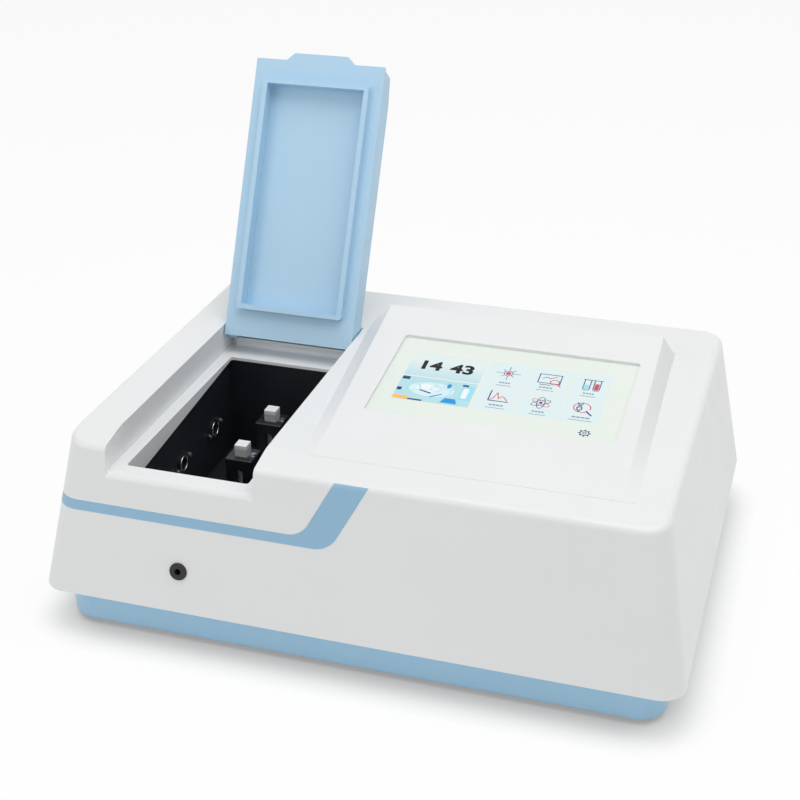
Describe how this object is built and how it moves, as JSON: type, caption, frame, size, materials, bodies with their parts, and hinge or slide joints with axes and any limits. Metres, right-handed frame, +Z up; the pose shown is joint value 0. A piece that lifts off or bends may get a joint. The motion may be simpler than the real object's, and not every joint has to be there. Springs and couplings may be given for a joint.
{
  "type": "uv-vis spectrophotometer",
  "caption": "Benchtop double-beam spectrophotometer with a hinged sample lid, a chamber with square cell holders and a tilted touch display.",
  "frame": {"origin": "on the bench top, under the middle of the casing", "axes": "+X to the user's right, +Y to the back, +Z up; the lid is stored at its open stop"},
  "size_m": [0.6, 0.464, 0.4556],
  "materials": {
    "casing": "satin",
    "stripe": "satin",
    "tray": "satin",
    "rubber": "matte",
    "screw": "satin",
    "lid": "satin",
    "pin": "polished",
    "black_metal": "matte",
    "bright_ring": "satin",
    "optic": "polished",
    "anodised": "satin",
    "holder": "matte",
    "spring": "satin",
    "quartz": "polished",
    "cap": "matte",
    "bench": "machined",
    "housing": "matte",
    "cover": "satin",
    "mirror": "polished",
    "filter": "polished",
    "motor": "satin",
    "sheet": "satin",
    "lamp_glass": "polished",
    "fan": "matte",
    "board": "satin",
    "screen_glass": "polished",
    "screen": "emissive panel",
    "panel": "satin",
    "black_plastic": "satin"
  },
  "bodies": {
    "instrument": {"upper_casing": "casing", "front_stripe": "stripe", "base_tray": "tray", "feet": "rubber", "case_screws": "screw", "hinge_strip": "casing", "chamber_liner": "black_metal", "rod_port_grommet": "rubber", "sample_lens_cell": "bright_ring", "reference_lens_cell": "bright_ring", "chamber_screws": "screw", "window_cells": "bright_ring", "lenses": "optic", "windows": "optic", "holder_base": "anodised", "sample_holder": "holder", "reference_holder": "holder", "cuvette_clips": "spring", "optical_bench": "bench", "bench_mounts": "rubber", "monochromator_housing": "housing", "monochromator_cover": "cover", "slits": "screw", "grating_motor": "motor", "collimating_mirror": "mirror", "focusing_mirror": "mirror", "filter_motor": "motor", "beam_splitter": "mirror", "fold_mirror": "mirror", "detector_bracket": "sheet", "detectors": "black_metal", "lamp_house": "sheet", "deuterium_lamp": "lamp_glass", "tungsten_lamp": "lamp_glass", "source_mirror_motor": "motor", "fan_frame": "fan", "power_supply": "sheet", "mainboard": "board", "touch_glass": "screen_glass", "lcd_panel": "screen", "display_bracket": "sheet", "rear_panel": "panel", "power_inlet": "black_plastic", "inlet_pins": "screw", "switch_frame": "black_plastic", "usb_ports": "screw"},
    "lid": {"lid_shell": "lid", "lid_liner": "lid", "hinge_pins": "pin"},
    "sample_cell": {"sample_cuvette": "quartz"},
    "sample_stopper": {"sample_cap": "cap"},
    "reference_cell": {"reference_cuvette": "quartz"},
    "reference_stopper": {"reference_cap": "cap"},
    "turntable": {"grating_turntable": "anodised", "grating": "mirror"},
    "filter_disc": {"filter_wheel": "holder", "order_filters": "filter"},
    "source_selector": {"source_mirror": "mirror"},
    "fan": {"fan_rotor": "fan"},
    "power_switch": {"rocker": "black_plastic"}
  },
  "joints": [
    {"name": "lid_hinge", "type": "hinge", "parent": "instrument", "child": "lid", "pos_m": [-0.16, 0.0775, 0.1814], "axis": [-1, 0, 0], "range_deg": [-115, 0]},
    {"name": "sample_cell_lift", "type": "slide", "parent": "instrument", "child": "sample_cell", "axis": [0, 0, 1], "range_m": [0, 0.06]},
    {"name": "sample_cap_lift", "type": "slide", "parent": "sample_cell", "child": "sample_stopper", "axis": [0, 0, 1], "range_m": [0, 0.03]},
    {"name": "reference_cell_lift", "type": "slide", "parent": "instrument", "child": "reference_cell", "axis": [0, 0, 1], "range_m": [0, 0.06]},
    {"name": "reference_cap_lift", "type": "slide", "parent": "reference_cell", "child": "reference_stopper", "axis": [0, 0, 1], "range_m": [0, 0.03]},
    {"name": "grating_turn", "type": "hinge", "parent": "instrument", "child": "turntable", "pos_m": [0.06, 0.05, 0.084], "axis": [0, 0, 1], "range_deg": [-35, 35]},
    {"name": "filter_wheel_turn", "type": "hinge", "parent": "instrument", "child": "filter_disc", "pos_m": [-0.002, 0.075, 0.104], "axis": [0, 1, 0], "continuous": true},
    {"name": "source_mirror_turn", "type": "hinge", "parent": "instrument", "child": "source_selector", "pos_m": [-0.02, 0.138, 0.088], "axis": [0, 0, -1], "range_deg": [0, 90]},
    {"name": "fan_spin", "type": "hinge", "parent": "instrument", "child": "fan", "pos_m": [-0.005, 0.198, 0.099], "axis": [0, 1, 0], "continuous": true},
    {"name": "power_switch_rock", "type": "hinge", "parent": "instrument", "child": "power_switch", "pos_m": [0.177, 0.22037, 0.1], "axis": [1, 0, 0], "range_deg": [0, 16]}
  ]
}
